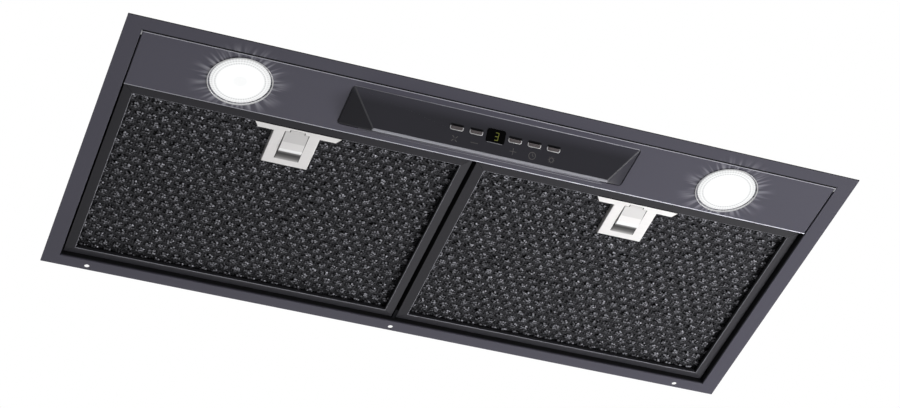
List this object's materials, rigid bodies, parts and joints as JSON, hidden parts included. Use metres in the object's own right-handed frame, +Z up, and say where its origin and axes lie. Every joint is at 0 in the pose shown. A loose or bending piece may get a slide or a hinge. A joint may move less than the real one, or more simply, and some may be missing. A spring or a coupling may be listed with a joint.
{
  "type": "range hood insert",
  "caption": "Built-in range hood insert: flange, two tilting mesh filters with sliding latches, two spot lamps, wedge console with buttons, blower and outlet collar with damper flaps.",
  "frame": {"origin": "centre of the flange's upper face, which seats against the underside of the cabinet", "axes": "+X to the right, +Y to the rear, +Z up into the cabinet"},
  "size_m": [0.7, 0.339, 0.2299],
  "materials": {
    "trim_paint": "satin anthracite powder coat",
    "zinc_sheet": "galvanised sheet",
    "spring_steel": "plain spring steel",
    "screw_steel": "zinc plated",
    "console_plastic": "satin anthracite",
    "button_chrome": "bright",
    "button_grey": "satin grey",
    "display_glass": "black gloss",
    "black_plastic": "moulded black",
    "board_green": "coated circuit board",
    "blower_plastic": "moulded dark grey",
    "motor_metal": "plain cast",
    "lamp_chrome": "bright",
    "lamp_diffuser": "frosted, lit",
    "filter_paint": "satin dark grey",
    "filter_mesh": "dark anodised mesh",
    "latch_steel": "satin stainless"
  },
  "bodies": {
    "hood": {"blower_cheek_left": "black_plastic", "blower_cheek_right": "black_plastic", "blower_housing": "zinc_sheet", "blower_scroll": "zinc_sheet", "board_screws": "screw_steel", "button_bezels": "button_chrome", "cable_gland": "black_plastic", "casing_end_left": "zinc_sheet", "casing_end_right": "zinc_sheet", "casing_screws": "screw_steel", "casing_wrapper": "zinc_sheet", "console_shell": "console_plastic", "control_board": "board_green", "damper_spindle": "screw_steel", "display_module": "black_plastic", "display_window": "display_glass", "filter_hanger_rail": "zinc_sheet", "housing_sides": "zinc_sheet", "lamp_bodies": "motor_metal", "lamp_clips": "spring_steel", "lamp_driver": "black_plastic", "lamp_lenses": "lamp_diffuser", "lamp_panel": "trim_paint", "lamp_rings": "lamp_chrome", "motor": "motor_metal", "motor_bracket": "zinc_sheet", "motor_capacitor": "motor_metal", "outlet_collar": "black_plastic", "panel_saddles": "zinc_sheet", "side_clips": "spring_steel", "tact_switches": "black_plastic", "terminal_box": "black_plastic", "terminal_lid": "black_plastic", "trim_frame": "trim_paint"},
    "left_filter": {"left_filter_frame": "filter_paint", "left_front_mesh": "filter_mesh", "left_mesh_core": "filter_mesh", "left_back_mesh": "filter_mesh", "left_pivot_pins": "screw_steel", "left_latch_plate": "latch_steel", "left_latch_spring": "spring_steel"},
    "right_filter": {"right_filter_frame": "filter_paint", "right_front_mesh": "filter_mesh", "right_mesh_core": "filter_mesh", "right_back_mesh": "filter_mesh", "right_pivot_pins": "screw_steel", "right_latch_plate": "latch_steel", "right_latch_spring": "spring_steel"},
    "left_latch": {"left_latch_slider": "latch_steel"},
    "right_latch": {"right_latch_slider": "latch_steel"},
    "fan_button": {"button_fan": "button_grey"},
    "minus_button": {"button_minus": "button_grey"},
    "plus_button": {"button_plus": "button_grey"},
    "timer_button": {"button_timer": "button_grey"},
    "light_button": {"button_light": "button_grey"},
    "blower_wheel": {"impeller": "blower_plastic", "impeller_shaft": "screw_steel"},
    "rear_flap": {"damper_flap_rear": "blower_plastic"},
    "front_flap": {"damper_flap_front": "blower_plastic"}
  },
  "joints": [
    {"name": "left_filter_tilt", "type": "hinge", "parent": "hood", "child": "left_filter", "pos_m": [-0.16683, 0.1485, 0.008], "axis": [1, 0, 0], "range_deg": [0, 60]},
    {"name": "left_latch_slide", "type": "slide", "parent": "left_filter", "child": "left_latch", "axis": [0, 1, 0], "range_m": [0, 0.005], "stiffness_N_per_m": 500, "springref_m": -0.002, "deforming": ["left_latch_spring"]},
    {"name": "right_filter_tilt", "type": "hinge", "parent": "hood", "child": "right_filter", "pos_m": [0.16683, 0.1485, 0.008], "axis": [1, 0, 0], "range_deg": [0, 60]},
    {"name": "right_latch_slide", "type": "slide", "parent": "right_filter", "child": "right_latch", "axis": [0, 1, 0], "range_m": [0, 0.005], "stiffness_N_per_m": 500, "springref_m": -0.002, "deforming": ["right_latch_spring"]},
    {"name": "fan_button_press", "type": "slide", "parent": "hood", "child": "fan_button", "axis": [0, 0.7071, 0.7071], "range_m": [0, 0.0008], "stiffness_N_per_m": 300},
    {"name": "minus_button_press", "type": "slide", "parent": "hood", "child": "minus_button", "axis": [0, 0.7071, 0.7071], "range_m": [0, 0.0008], "stiffness_N_per_m": 300},
    {"name": "plus_button_press", "type": "slide", "parent": "hood", "child": "plus_button", "axis": [0, 0.7071, 0.7071], "range_m": [0, 0.0008], "stiffness_N_per_m": 300},
    {"name": "timer_button_press", "type": "slide", "parent": "hood", "child": "timer_button", "axis": [0, 0.7071, 0.7071], "range_m": [0, 0.0008], "stiffness_N_per_m": 300},
    {"name": "light_button_press", "type": "slide", "parent": "hood", "child": "light_button", "axis": [0, 0.7071, 0.7071], "range_m": [0, 0.0008], "stiffness_N_per_m": 300},
    {"name": "wheel_spin", "type": "hinge", "parent": "hood", "child": "blower_wheel", "pos_m": [0, 0.039, 0.103], "axis": [1, 0, 0], "continuous": true},
    {"name": "rear_flap_swing", "type": "hinge", "parent": "hood", "child": "rear_flap", "pos_m": [0, 0.088, 0.175], "axis": [1, 0, 0], "range_deg": [0, 80]},
    {"name": "front_flap_swing", "type": "hinge", "parent": "hood", "child": "front_flap", "pos_m": [0, 0.088, 0.175], "axis": [-1, 0, 0], "range_deg": [0, 80]}
  ]
}
